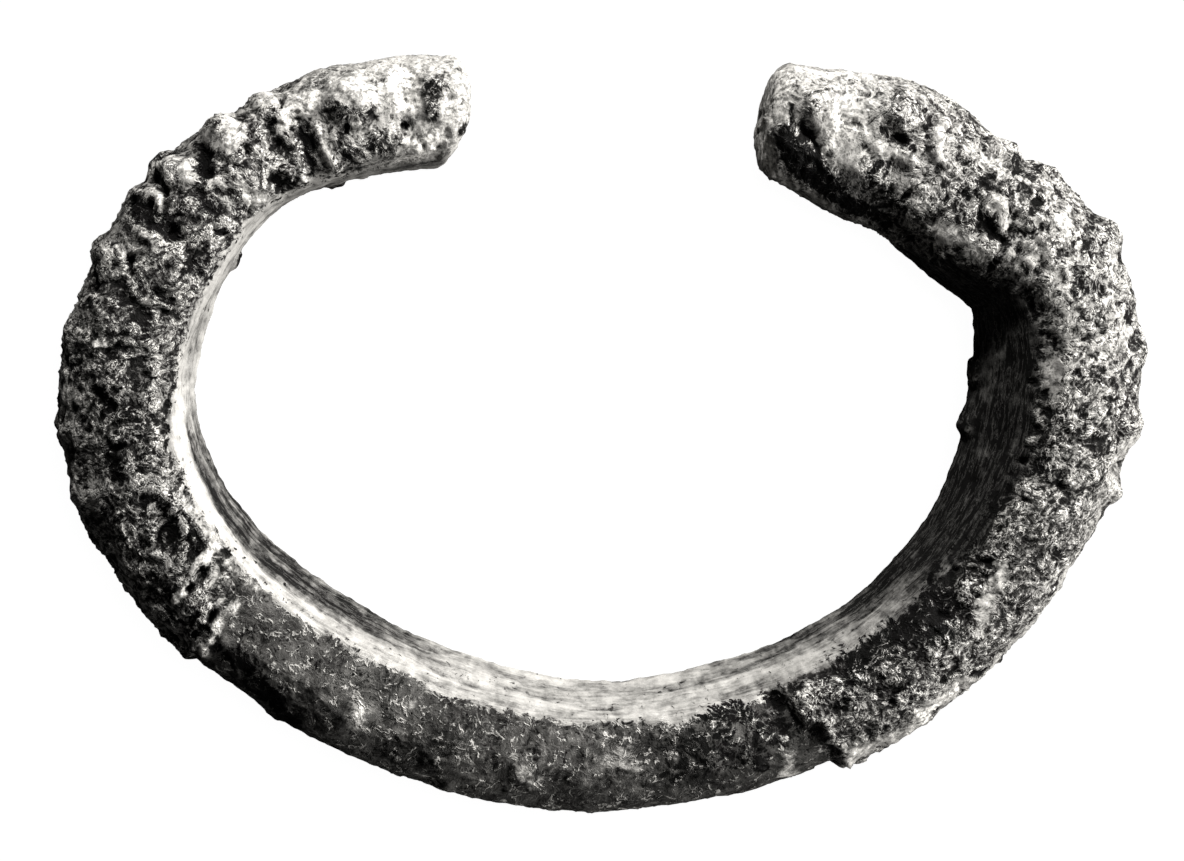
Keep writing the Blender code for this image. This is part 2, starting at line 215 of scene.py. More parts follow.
def barPoints(at, turn, scale=1.0):
    # turn 0 is outward, a quarter turn is up and a half turn is inward
    at, turn = np.broadcast_arrays(np.asarray(at, float), np.asarray(turn, float))
    power = 2 / squareness(at)
    across = np.sign(np.cos(turn)) * np.abs(np.cos(turn)) ** power
    up = np.sign(np.sin(turn)) * np.abs(np.sin(turn)) ** power
    up = np.where(across < rimShare(at), slopedInside(at, across, up), up)
    up = up * (1 - faceLean(at) * across)
    nearEnd = fromNearEnd(at)
    onMuzzle = 1 - softStep(nearEnd, 0, bar["leftHeadLength"] / 2)
    setBack = bar["chinSetBack"] * np.clip(-across, 0, 1) ** 2 * onMuzzle
    place = at + np.where(at < barLength / 2, 1, -0.3) * setBack
    middle = np.stack([np.interp(place, midlineDistance, midline[:, i]) for i in (0, 1)], -1)
    outward = np.stack([np.interp(place, midlineDistance, outwardDirection[:, i]) for i in (0, 1)], -1)
    onHead = 1 - softStep(nearEnd, bar["leftHeadLength"] / 2, 1.8 * bar["leftHeadLength"])
    lift = bar["headLift"] * onHead - bar["restingFlatDepth"]
    halfHeight = barHeight(at) / 2
    flat = middle + outward * (scale * across * barWidth(at) / 2)[..., None]
    height = lift + halfHeight + scale * up * halfHeight
    return np.concatenate([flat, height[..., None]], -1), across, up


def pointOnFace(at, share, side):
    power = squareness(at)
    turn = np.arctan2((1 - abs(share) ** power) ** 0.5, np.sign(share) * abs(share) ** (power / 2))
    return barPoints(at, side * turn)[0]


# Noise in three dimensions, on whole arrays of points.
def latticeValue(x, y, z, seed):
    # one value from -1 to 1 for each corner of a lattice, stirred from its whole numbers
    n = (x * 73856093) ^ (y * 19349663) ^ (z * 83492791) ^ (seed * 2654435761 & 0x7FFFFFFF)
    n = (n ^ (n >> 13)) * 1274126177 & 0x7FFFFFFF
    n = (n ^ (n >> 16)) * 668265263 & 0x7FFFFFFF
    return ((n ^ (n >> 15)) & 0xFFFF) / 32767.5 - 1


def valueNoise(points, size, seed):
    scaled = points / size + 1000
    cell = np.floor(scaled).astype(np.int64)
    part = scaled - cell
    part = part ** 3 * (part * (part * 6 - 15) + 10)
    total = 0
    for corner in range(8):
        step = [(corner >> axis) & 1 for axis in range(3)]
        weight = 1
        for axis in range(3):
            weight = weight * (part[..., axis] if step[axis] else 1 - part[..., axis])
        total = total + weight * latticeValue(*[cell[..., axis] + step[axis] for axis in range(3)], seed)
    return total


def fractalNoise(points, size, seed, octaves=4, keep=0.5):
    total, weight, most = 0, 1, 0
    for octave in range(octaves):
        total = total + weight * valueNoise(points, size / 2 ** octave, seed + 17 * octave)
        most += weight
        weight *= keep
    return total / most * 1.6  # spread out to about -1 to 1


def ridgeNoise(points, size, seed, octaves=3):
    # sharp crests between rounded hollows, from 0 to 1
    total, weight, most = 0, 1, 0
    for octave in range(octaves):
        crest = 1 - np.abs(valueNoise(points, size / 2 ** octave, seed + 29 * octave)) * 2.2
        total = total + weight * np.clip(crest, 0, 1) ** 2
        most += weight
        weight *= 0.5
    return total / most


def warped(points, size, amount, seed):
    moved = [valueNoise(points, size, seed + i) for i in range(3)]
    return points + amount * np.stack(moved, -1)


def gridNormals(points):
    along = np.gradient(points, axis=0)
    around = np.roll(points, -1, axis=1) - np.roll(points, 1, axis=1)
    normals = np.cross(along, around)
    return normals / np.maximum(np.linalg.norm(normals, axis=-1), 1e-12)[..., None]


def blurred(field, rounds):
    # a running average over the grid, which joins up round the bar
    for _ in range(rounds):
        field = (np.roll(field, 1, 1) + 2 * field + np.roll(field, -1, 1)) / 4
        ends = np.concatenate([field[:1], field, field[-1:]])
        field = (ends[:-2] + 2 * ends[1:-1] + ends[2:]) / 4
    return field


# What is carved, on both faces of the bar. A form runs from one place and share across to another:
# (place, share, place, share, radius, height). A place below zero is measured from the right muzzle.
carving = {
    "leftHead": [
        (8.8, 0.40, 9.3, 0.40, 2.4, 1.1),         # eye
        (2.9, 0.10, 2.9, 0.50, 1.5, 0.45),        # nostril
        (5.1, 0.90, 5.1, 0.30, 1.5, -0.25),       # the dip between them
        (7.0, -0.45, 9.4, -0.45, 2.0, 0.35),      # jaw
        (11.8, -0.70, 12.3, 0.10, 0.8, 0.25),     # collar
        (13.4, -0.65, 13.3, 0.30, 1.2, -0.35),    # grooves behind it
        (15.4, -0.05, 15.4, 0.55, 0.8, -0.3),
        (16.4, -0.75, 16.9, -0.40, 0.9, -0.5),
    ],
    "rightHead": [
        (-3.1, 0.36, -3.1, 0.46, 2.1, 0.6),       # nostril
        (-5.9, 0.25, -5.9, 0.85, 1.4, -0.3),      # the dip behind it
        (-2.8, 0.02, -4.0, -0.20, 1.0, -0.4),     # mouth
        (-9.0, 0.36, -10.4, 0.20, 0.8, -0.35),    # eye slot
        (-9.5, 0.50, -9.9, 0.60, 2.4, 0.7),       # ear
        (-9.0, 0.02, -11.6, 0.03, 0.7, 0.35),     # ridge under the eye
        (-12.6, 0.65, -12.9, 0.28, 0.9, 0.4),     # nape
        (-9.2, -0.30, -8.6, -0.30, 2.0, 0.4),     # jaw
    ],
    # lumps along the outer edge behind each head: place, radius and height
    "crest": [
        (14.9, 1.7, 0.7), (18.2, 2.0, 0.9), (22.5, 2.1, 1.0), (25.2, 1.9, 0.8), (29.4, 2.1, 0.8),
        (35.0, 2.1, 0.6), (41.0, 2.2, 0.6), (45.2, 2.4, 0.7), (-17.4, 1.9, 0.8), (-21.8, 2.3, 0.9),
        (-25.9, 2.2, 1.1), (-32.0, 2.7, 0.7), (-37.2, 2.5, 0.7), (-41.4, 2.2, 0.8),
    ],
    "crestShare": 0.93,
}

# Hollows and ridges that rust has left on the upper side alone, as above with a tone at the end:
# below zero the place is darker, from stains, and above zero paler, from wear; some of these tones are
# painted shade on sides turned away from the lamps and painted light on edges turned toward them.
scars = [
    # the left head
    (0.8, 0.60, 1.0, -0.60, 1.3, 0, 0.10), (0.0, 0.00, 0.1, -0.45, 0.6, 0, -0.9),
    (5.2, 0.65, 4.9, 0.30, 1.7, 0, 1.2), (3.0, -0.50, 5.5, -0.80, 1.2, 0, 0.6),
    (12.0, 0.62, 13.4, 0.52, 1.5, 0, 0.8), (13.4, 0.52, 15.0, 0.36, 1.0, 0, 0.5),
    # painted light and shade on the eye boss: paler on its side toward the lamps, darker on the side away
    # from them
    (10.6, 0.30, 9.4, 0.12, 1.0, 0, -0.42), (9.2, 0.10, 8.0, 0.12, 0.7, 0, -0.3),
    (9.0, 0.62, 8.6, 0.55, 1.4, 0, 0.35), (10.9, 0.70, 8.0, 0.78, 0.6, 0, 0.3),
    (6.7, 0.58, 6.6, 0.28, 0.5, -0.1, -0.3), (7.1, 0.14, 8.4, 0.00, 0.35, -0.2, -0.9),
    (10.4, 0.22, 9.5, 0.02, 0.35, -0.25, -0.6), (8.6, 0.00, 9.9, -0.07, 0.35, -0.2, -0.7),
    (11.1, 0.20, 10.7, -0.14, 0.5, -0.1, -0.4), (7.2, 0.04, 9.4, -0.14, 0.3, 0.20, 0.5),
    (5.9, -0.02, 4.9, -0.20, 0.4, -0.35, -1.1), (5.0, 0.50, 5.1, 0.20, 0.5, 0, -0.35),
    (2.9, 0.50, 3.2, -0.05, 1.0, -0.10, -0.75), (2.0, 0.70, 2.2, 0.40, 0.5, 0, -0.3),
    (6.0, -0.35, 10.4, -0.50, 1.5, 0, -0.55), (10.9, -0.20, 10.6, -0.55, 0.5, -0.2, -0.6),
    # the neck behind it
    (13.4, 0.28, 13.5, -0.62, 1.1, 0.0, -0.28), (13.0, 0.10, 13.2, -0.30, 0.3, 0.25, 0.5),
    (13.8, -0.05, 13.9, -0.50, 0.3, 0.25, 0.5), (12.9, -0.35, 13.0, -0.60, 0.45, 0.25, 0.35),
    (13.6, 0.30, 13.7, 0.12, 0.4, 0.3, 0.4), (12.9, 0.10, 12.9, -0.25, 0.35, -0.2, -0.8),
    (13.7, 0.20, 13.2, -0.10, 0.5, -0.2, -0.6), (13.3, -0.25, 13.7, -0.55, 0.6, -0.2, -0.6),
    (12.1, -0.60, 12.3, 0.05, 0.4, 0.1, 0.3), (15.3, 0.48, 15.5, 0.00, 0.6, -0.2, -0.7),
    (14.3, 0.20, 14.5, -0.30, 0.4, 0.1, 0.35), (14.2, 0.84, 15.0, 0.85, 0.8, 0, 0.3),
    (17.0, -0.45, 16.9, -0.75, 0.8, -0.2, -0.9), (14.6, -0.72, 15.4, -0.70, 0.5, 0.2, 0.6),
    # the left bar
    (17.0, 0.75, 18.2, 0.50, 1.0, 0.2, 0.55), (19.1, 0.85, 18.8, 0.60, 0.9, 0.1, 0.4),
    (20.2, 0.82, 20.9, 0.45, 0.8, -0.7, -1.0), (21.6, 0.85, 22.0, 0.50, 0.8, 0.4, 0.5),
    (23.3, 0.92, 23.9, 0.78, 0.9, -0.8, -1.0), (24.6, 0.85, 24.8, 0.65, 0.7, 0.4, 0.55),
    (25.5, 0.95, 26.1, 0.25, 0.9, -0.8, -1.0), (26.9, 0.90, 27.1, 0.40, 0.8, 0.2, 0.3),
    (20.8, 0.30, 19.8, -0.10, 0.7, 0.2, 0.4), (20.2, -0.35, 19.4, -0.65, 0.9, 0.1, 0.5),
    (22.3, 0.20, 22.6, -0.05, 0.9, -0.3, -0.7), (26.2, 0.80, 25.3, 0.40, 1.3, 0, -0.7),
    (23.9, 0.88, 24.6, 0.60, 0.5, 0.2, 0.6), (17.6, 0.80, 18.4, 0.40, 1.2, 0.1, 0.15),
    (12.0, 0.96, 24.0, 0.98, 1.2, 0, 0.4), (29.0, 0.65, 29.3, 0.45, 0.6, -0.7, -1.0),
    (31.5, 0.88, 30.4, 0.95, 0.8, -0.6, -1.0), (30.5, -0.05, 30.4, -0.15, 0.7, -0.4, -0.9),
    (26.4, -0.25, 28.0, -0.45, 1.0, -0.2, -0.6), (31.2, 0.12, 30.9, 0.05, 0.5, 0.2, 0.5),
    (35.5, 0.65, 35.0, -0.35, 0.35, 0.25, 0.7), (36.6, 0.72, 37.0, 0.60, 0.6, 0.1, 0.25),
    (38.2, 0.48, 39.0, 0.36, 0.9, -0.5, -1.0), (39.3, 0.08, 39.5, -0.02, 0.8, -0.4, -0.9),
    (41.6, -0.15, 43.4, -0.10, 1.7, 0, -0.3), (36.0, 0.10, 50.0, 0.10, 5.0, 0, -0.16),
    (42.6, 0.38, 44.6, 0.30, 0.9, -0.2, -0.7),
    # strokes in the crust before the bare stretch
    (45.4, 0.08, 45.2, -0.02, 0.5, 0.1, 0.5), (47.5, -0.05, 52.7, -0.05, 0.55, -0.5, -1.5),
    (49.0, -0.28, 52.4, -0.20, 0.42, -0.4, -1.3), (49.8, 0.12, 52.4, 0.14, 0.42, -0.35, -1.1),
    (48.6, -0.16, 52.0, -0.12, 0.4, 0.2, 0.9), (49.2, -0.45, 53.0, -0.45, 1.1, 0, 0.5),
    (50.2, 0.30, 51.8, 0.28, 0.9, 0.1, 0.35), (54.2, 0.54, 53.2, -0.30, 0.55, 0.45, 1.1),
    (54.0, 0.26, 54.1, -0.06, 0.45, -0.6, -1.4), (53.2, -0.30, 53.2, -0.55, 0.8, 0.1, 0.6),
    (54.4, -0.20, 56.6, 0.10, 0.4, 0.1, 0.5), (55.2, -0.40, 57.6, -0.40, 0.9, 0, 0.5),
    (56.2, 0.62, 55.0, 0.40, 0.9, 0, -0.5), (57.8, 0.81, 57.5, 0.05, 0.55, 0.35, 1.0),
    (57.0, 0.70, 57.0, 0.20, 0.42, -0.4, -1.1),
    # the bare stretch
    (59.6, 0.60, 66.0, 0.90, 1.6, 0, -0.8), (70.0, 0.45, 70.2, 0.20, 1.0, 0.1, 0.9),
    (73.3, -0.12, 73.5, -0.20, 0.5, 0, 0.6), (64.4, 0.20, 65.0, 0.35, 1.0, 0, 0.3),
    (83.2, 0.30, 84.2, 0.55, 1.0, 0, 0.5), (82.4, 0.20, 82.5, 0.10, 0.4, 0, 0.7),
    (90.4, 0.12, 91.6, 0.18, 1.3, 0, 0.35), (94.7, 0.10, 94.8, 0.05, 0.5, 0.1, 0.6),
    (100.6, 0.05, 100.5, 0.0, 0.6, 0, 0.6), (103.3, 0.90, 103.2, 0.55, 1.0, 0, 0.7),
    (101.4, 0.62, 101.6, 0.52, 0.8, 0, -0.8), (97.0, -0.35, 101.5, -0.32, 0.9, 0, -0.4),
    # the broken edge of the crust, and the right bar
    (103.9, -0.45, 105.9, 0.98, 1.2, -0.8, -1.0), (106.2, -0.30, 107.4, 0.90, 0.9, 0.35, 0.3),
    # painted shade: broad dark patches over the inner half of the bar, which turns away from the lamps
    (95.0, 0.10, 103.0, 0.10, 4.5, 0, -0.42), (109.0, -0.30, 116.0, -0.15, 3.6, 0, -0.36),
    (117.0, -0.20, 120.0, -0.20, 3.6, 0, -0.40), (122.0, -0.40, 133.0, -0.35, 3.4, 0, -0.36),
    (111.6, -0.35, 119.5, -0.40, 1.6, 0, -0.25), (119.4, -0.20, 118.4, 0.05, 1.0, -0.2, -0.6),
    # painted light: pale strips along the outer edge, which faces the side lamp
    (108.5, 0.85, 113.0, 0.90, 1.7, 0, 0.5), (113.8, 0.80, 117.0, 0.85, 1.6, 0, 0.65),
    (118.0, 0.95, 128.0, 0.95, 1.3, 0, 0.3), (118.6, 0.92, 118.2, 0.80, 0.8, -0.3, -0.9),
    (120.6, 0.35, 125.0, 0.10, 1.1, 0.1, 0.35), (131.6, 0.85, 137.0, 0.88, 1.8, 0, 0.25),
    # the right bar, up to the head
    (-33.2, -0.20, -35.6, -0.15, 1.2, 0, 0.5), (-29.6, 0.55, -30.4, 0.70, 0.9, 0.1, 0.3),
    (-27.2, 0.85, -26.4, 0.92, 1.1, 0, 0.15), (-23.9, 0.60, -24.3, 0.45, 0.9, 0, 0.35),
    (-19.4, 0.30, -20.0, 0.20, 1.0, 0.1, 0.4), (-17.0, -0.45, -20.4, -0.45, 1.0, 0, 0.6),
    (-22.0, 0.20, -33.0, 0.15, 4.4, 0, 0.14), (-22.0, 0.80, -30.0, 0.85, 2.0, 0, 0.15),
    (-21.4, 0.62, -21.9, 0.50, 0.9, -0.4, -0.9), (-19.3, -0.02, -20.9, -0.12, 0.8, -0.5, -1.0),
    (-16.9, 0.52, -17.0, 0.42, 0.5, -0.4, -0.8), (-33.8, 0.35, -33.8, 0.22, 1.3, 0, -0.45),
    (-29.2, 0.82, -31.0, 0.88, 0.5, -0.4, -0.8), (-35.9, -0.16, -37.0, -0.10, 0.7, -0.4, -0.9),
    (-37.5, 0.05, -42.0, 0.0, 1.2, 0, -0.5), (-31.2, -0.32, -36.0, -0.34, 0.35, 0.2, 0.7),
    # the right head
    (-4.5, 0.55, -4.9, 0.20, 0.5, 0.1, 0.3), (-5.9, 0.60, -5.6, 0.10, 1.3, 0, 0.1),
    (-4.6, 0.02, -5.2, -0.15, 0.8, 0, 0.5), (-1.4, 0.80, -1.2, -0.10, 0.3, -0.25, -0.6),
    # painted shade: the broad dark patches from here along the head's lower inner side, which faces away from
    # the lamps
    (-2.9, -0.04, -4.3, -0.30, 0.6, -0.25, -1.2), (-1.6, -0.30, -3.4, -0.55, 2.0, 0, -1.6),
    (-3.4, -0.60, -8.4, -0.82, 1.9, 0, -1.5), (-8.0, -0.80, -13.4, -0.86, 1.5, 0, -0.9),
    (-3.1, 0.62, -3.3, 0.22, 1.6, 0, -0.15), (-8.6, 0.30, -11.0, 0.16, 0.5, -0.15, -1.2),
    (-9.7, 0.66, -9.4, 0.48, 1.9, 0, -0.35), (-8.2, 0.60, -8.7, 0.44, 0.5, -0.1, -0.4),
    (-8.7, 0.07, -12.2, -0.02, 0.4, 0.15, 0.6), (-12.6, 0.66, -13.0, 0.26, 0.7, 0.1, 0.4),
    (-11.6, 0.66, -12.1, 0.30, 0.4, -0.2, -0.5), (-9.2, -0.20, -9.6, -0.45, 1.6, 0, -0.45),
    (-11.0, -0.55, -12.6, -0.55, 1.0, 0, -0.5), (-14.6, 0.62, -17.4, 0.70, 1.4, 0, 0.25),
    (-2.0, 0.90, -7.0, 0.95, 0.8, 0, 0.4), (-13.6, -0.10, -17.4, -0.14, 0.9, 0, -0.25),
    # lumps on the inner edge, toned dark as painted shadow
    (-34.9, -0.96, -34.3, -0.98, 1.2, 0.45, -0.6), (-39.4, -0.97, -40.8, -0.97, 1.2, 0.45, -0.5),
    (12.2, -0.98, 11.4, -0.99, 0.8, 0.35, -0.9), (9.9, -0.99, 9.4, -0.99, 0.5, 0.2, -0.6),
    (24.4, -0.99, 24.9, -0.99, 0.8, 0.4, -0.9),
]


def placeOf(at):
    return at if at >= 0 else barLength + at


def crestForms():
    share = carving["crestShare"]
    return [(at, share, at, share, radius, height) for at, radius, height in carving["crest"]]


def formRelief(points, forms, sides=(1, -1)):
    total = np.zeros(points.shape[:-1])
    for startAt, startShare, endAt, endShare, radius, height in forms:
        for side in sides:
            start = pointOnFace(placeOf(startAt), startShare, side)
            end = pointOnFace(placeOf(endAt), endShare, side)
            run = end - start
            share = np.clip(((points - start) @ run) / max(run @ run, 1e-9), 0, 1)
            gap = np.linalg.norm(points - start - share[..., None] * run, axis=-1)
            total += height * np.clip(1 - (gap / radius) ** 2, 0, None) ** 2
    return total


# The rust. Sizes are the widths of its lumps and flakes, and heights are how far they stand.
# A drag is the size of the broader noise that pulls them about, and how far it pulls them.
rust = {
    "lumpSize": 3.6,
    "lumpHeight": 0.28,
    "lumpDrag": (3.0, 0.8),
    "curlSize": 1.5,
    "curlHeight": 0.21,
    "curlDrag": (1.1, 0.75),
    "fibreSize": 0.62,
    "fibreHeight": 0.15,
    "fibreDrag": (0.6, 0.42),
    "strandSize": 0.8,
    "strandDrag": (2.2, 1.6),
    "grainSize": 0.45,
    "grainHeight": 0.06,
    "crackSpacing": 2.6,
    "crackDepth": 0.18,
    "crackDrag": (1.0, 0.6),
    "hollowSize": 1.5,
    "hollowDepth": 0.24,
    "hollowDrag": (1.4, 0.8),
    "wormSize": 1.1,
    "wormDrag": (0.8, 0.35),
    "swellSize": 3.0,
    "bareHeight": 0.16,
    "streakSize": 0.9,
    "streakHeight": 0.16,
    "rimWobble": (2.4, 0.08),      # how the rim of the inner face wanders: size, and share across
    "rimFray": (0.8, 0.09),
    "edgeWobble": (1.6, 0.7),      # the same for the broken edges of the crust, in millimetres
    "thickCrustFrom": 84,          # the place from which the right bar's thicker crust begins
    "crustGrows": (8, 24),         # how far behind each muzzle the crust starts, and is whole
    "calmUpTo": (9, 18),           # the same for its relief
    "scarDrag": (1.5, 0.5),
    "scarRagging": (0.6, 0.3),
    "scarTone": 1.4,
}


def surfaceMasks(points, at, across):
    (wobbleSize, wobble), (fraySize, fray) = rust["rimWobble"], rust["rimFray"]
    edgeSize, edgeWobble = rust["edgeWobble"]
    rim = rimShare(at) - 0.14 * (1 - softStep(at, 8, 20))  # the inner face narrows behind the left muzzle
    rim = rim + wobble * fractalNoise(points, wobbleSize, 3) + fray * fractalNoise(points, fraySize, 8)
    inner = 1 - softStep(across, rim - 0.05, rim + 0.05)
    innerShade = 1 - softStep(across, rim - 0.14, rim + 0.14)
    fromHead = softStep(barLength - at, 1.1 * bar["rightHeadLength"], 1.6 * bar["rightHeadLength"])
    edge = edgeWobble * valueNoise(points, edgeSize, 11) - bar["breakSlant"] * across
    fromLeft = softStep(at + edge, bar["strippedFrom"] - 0.3, bar["strippedFrom"] + 0.3)
    fromRightSide = 1 - softStep(at + edge, bar["strippedTo"] - 0.3, bar["strippedTo"] + 0.5)
    bare = fromLeft * fromRightSide
    return inner * fromHead, innerShade * fromHead, bare


def rustRelief(points, at, across, up, inner, bare):
    r = rust
    nearEnd = fromNearEnd(at)
    outer = 1 - inner
    crusted = outer * (1 - bare)
    thickness = np.where(at < r["thickCrustFrom"], bar["leftCrust"], bar["rightCrust"]) * crusted
    thickness = thickness * softStep(nearEnd, *r["crustGrows"])
    thickness = thickness * softStep(across, rimShare(at) - 0.05, rimShare(at) + 0.35)

    lumps = fractalNoise(warped(points, *r["lumpDrag"], 30), r["lumpSize"], 5, octaves=3)
    curls = ridgeNoise(warped(points, *r["curlDrag"], 40), r["curlSize"], 70) - 0.45
    fibres = ridgeNoise(warped(points, *r["fibreDrag"], 50), r["fibreSize"], 75, octaves=2) - 0.45
    grain = fractalNoise(points, r["grainSize"], 80, octaves=3)
    stretched = np.stack([at * 0.55, across * 6, up * 5], -1)
    strands = ridgeNoise(warped(stretched, *r["strandDrag"], 55), r["strandSize"], 57, octaves=2) - 0.4
    seam = np.abs(valueNoise(warped(points, *r["crackDrag"], 60), r["crackSpacing"], 62))
    crevice = (1 - softStep(seam, 0.02, 0.16)) * softStep(valueNoise(points, 3.4, 64), -0.1, 0.4)
    hollow = softStep(fractalNoise(warped(points, *r["hollowDrag"], 66), r["hollowSize"], 68), 0.2, 0.6)
    headCalm = 0.5 + 0.5 * softStep(nearEnd, *r["calmUpTo"])
    crustHeight = r["lumpHeight"] * lumps + r["curlHeight"] * curls + r["fibreHeight"] * (fibres + strands)
    crustHeight = crustHeight - r["crackDepth"] * crevice - r["hollowDepth"] * hollow
    crustHeight = headCalm * crustHeight + r["grainHeight"] * grain

    # the bare stretch: low swells, and fine worm-like ridges that come and go
    worms = np.abs(valueNoise(warped(points, *r["wormDrag"], 90), r["wormSize"], 91))
    wormRidge = (1 - softStep(worms, 0.02, 0.22)) * softStep(valueNoise(points, 2.0, 95), -0.1, 0.5)
    swells = fractalNoise(points, r["swellSize"], 97)
    bareHeight = r["bareHeight"] * (1.2 * swells + 0.9 * wormRidge + 0.35 * grain)

    # the inner face: streaks along the bar, as forged iron parts along its fibres
    streakPlace = np.stack([at * 0.14, across * 5.2, up * 4.8], -1)
    streaks = fractalNoise(streakPlace, r["streakSize"], 100, keep=0.6)
    innerHeight = r["streakHeight"] * streaks + 0.05 * grain + 0.10 * fractalNoise(points, 2.5, 103)

    height = thickness + crusted * crustHeight + outer * bare * bareHeight + inner * innerHeight
    marks = {"hollow": np.maximum(hollow, crevice) * crusted * (2 * headCalm - 1), "streaks": streaks}
    return height, marks


# How closely the detailed surface is drawn.
grid = {
    "around": 116,
    "upperCrowding": 0.55,
    "headSpacing": 0.165,
    "barSpacing": 0.226,
    "headStretch": 16.0,
    "cornerRings": 9,
    "faceRings": 12,
    "cavityReach": 10,
}


# Painted light and shade on the inner face, by place: pale near the rim at the left and the front, where it
# faces the lamps, painted shade along its inmost line in places, and dark all over at the right, where it
# faces away from them.
innerFace = {
    "nearRim": [
        (8, 0.95), (30, 0.80), (45, 0.95), (62, 0.78), (88, 0.70), (106, 0.6), (118, 0.22), (128, 0.02),
        (160, 0.0),
    ],
    "inmost": [
        (8, 0.5), (36, 0.6), (48, 0.2), (68, 0.2), (80, 0.6), (96, 0.6), (104, 0.3), (116, 0.08), (128, -0.1),
    ],
    "inmostFrom": [(38, 0.82), (48, 0.71), (64, 0.69), (82, 0.77)],
}


def innerLightAndShade(at, across):
    inmostFrom = smoothCurve(innerFace["inmostFrom"], at)
    inmost = softStep(-across, inmostFrom - 0.04, inmostFrom + 0.08)
    nearRim, inmostTone = smoothCurve(innerFace["nearRim"], at), smoothCurve(innerFace["inmost"], at)
    return nearRim * (1 - inmost) + inmostTone * inmost


def ringPlaces():
    places = [bar["muzzleRounding"]]
    while places[-1] < barLength - bar["muzzleRounding"]:
        near = min(places[-1], barLength - places[-1])
        spacing = grid["headSpacing"] if near < grid["headStretch"] else grid["barSpacing"]
        places.append(places[-1] + spacing)
    places[-1] = barLength - bar["muzzleRounding"]
    return places


def endRings():
    # one muzzle, from its rim to the middle of its flat: distance from the end, and scale
    half = min(bar["leftHeadWidth"], bar["rightMuzzleWidth"]) / 2
    r = bar["muzzleRounding"]
    corner = [math.radians(90) * step / grid["cornerRings"] for step in range(1, grid["cornerRings"] + 1)]
    rings = [(r * (1 - math.sin(a)), 1 - r * (1 - math.cos(a)) / half) for a in corner]
    last = rings[-1][1]
    return rings + [(0, last * (1 - step / grid["faceRings"])) for step in range(1, grid["faceRings"])]


def turnPlaces():
    # closer together on the upper side, which shows most
    even = np.linspace(0, 1, grid["around"], endpoint=False)
    return 2 * math.pi * even - grid["upperCrowding"] * (1 - np.cos(2 * math.pi * even))


def makeBracelet():
    ends = endRings()
    rings = [(d, s) for d, s in reversed(ends)] + [(at, 1.0) for at in ringPlaces()]
    rings += [(barLength - d, s) for d, s in ends]
    at = np.array([r[0] for r in rings])[:, None]
    scale = np.array([r[1] for r in rings])[:, None]
    turn = turnPlaces()[None, :]
    points, across, up = barPoints(at, turn, scale)
    at = np.broadcast_to(at, across.shape)
    inner, innerShade, bare = surfaceMasks(points, at, across)
    rough, marks = rustRelief(points, at, across, up, inner, bare)
    carved = formRelief(points, carving["leftHead"] + carving["rightHead"] + crestForms())
    ragged = warped(warped(points, *rust["scarDrag"], 120), *rust["scarRagging"], 130)
    carved = carved + formRelief(ragged, [scar[:6] for scar in scars if scar[5]], sides=(1,))
    toned = formRelief(ragged, [scar[:5] + (rust["scarTone"] * scar[6],) for scar in scars], sides=(1,))
    headPaleness = np.where(at < barLength / 2, finish["leftHeadPaleness"], finish["rightHeadPaleness"])
    toned = toned + headPaleness * (1 - softStep(fromNearEnd(at), 5, 16)) * (up > 0)
    toned = toned + finish["muzzlePaleness"] * (1 - softStep(barLength - at, 0.3, 1.5))
    marks["hollow"] = marks["hollow"] * (1 - np.clip(1.5 * toned, 0, 1))
    height = rough + carved
    finished = points + gridNormals(points) * height[..., None]
    finished[..., 2] = np.maximum(finished[..., 2], 0)  # the worn strip it lies on
    cavity = height - blurred(height, grid["cavityReach"])
    middle = (finished[..., :2].max(axis=(0, 1)) + finished[..., :2].min(axis=(0, 1))) / 2
    finished[..., :2] -= middle
    finished *= mm

    count, around = at.shape
    vertices = finished.reshape(-1, 3)
    tips = np.array([finished[0].mean(0), finished[-1].mean(0)])
    vertices = np.concatenate([vertices, tips])
    index = np.arange(count * around).reshape(count, around)
    following = np.roll(index, -1, axis=1)
    quads = np.stack([index[:-1], following[:-1], following[1:], index[1:]], -1).reshape(-1, 4)[:, ::-1]
    leftFan = [(int(a), int(b), count * around) for a, b in zip(index[0], following[0])]
    rightFan = [(int(b), int(a), count * around + 1) for a, b in zip(index[-1], following[-1])]
    mesh = bpy.data.meshes.new("bracelet_detail")
    mesh.from_pydata(vertices.tolist(), [], quads.tolist() + leftFan + rightFan)
    mesh.update()
    mesh.shade_smooth()
    fields = {
        "cavity": np.clip(0.5 + cavity * 2.2, 0, 1),
        "inner": innerShade,
        "bare": bare,
        "streak": 0.5 + 0.5 * np.clip(marks["streaks"], -1, 1),
        "tone": 0.5 + 0.5 * np.clip(toned, -1, 1),
        "innerLightAndShade": innerLightAndShade(at, across),
        "hollow": marks["hollow"],
    }
    streakPlace = np.stack([at * 0.10, across * 5.2, up * 4.8], -1).reshape(-1, 3)
    streakPlace = np.concatenate([streakPlace, streakPlace[[0, -1]]])
    layer = mesh.attributes.new("streakPlace", "FLOAT_VECTOR", "POINT")
    layer.data.foreach_set("vector", streakPlace.astype(np.float32).reshape(-1))
    for name, field in fields.items():
        layer = mesh.attributes.new(name, "FLOAT", "POINT")
        values = np.concatenate([field.reshape(-1), [field[0].mean(), field[-1].mean()]])
        layer.data.foreach_set("value", values.astype(np.float32))
    piece = bpy.data.objects.new("bracelet_detail", mesh)
    bpy.context.scene.collection.objects.link(piece)
    print("bracelet:", len(mesh.vertices), "points")
    return piece


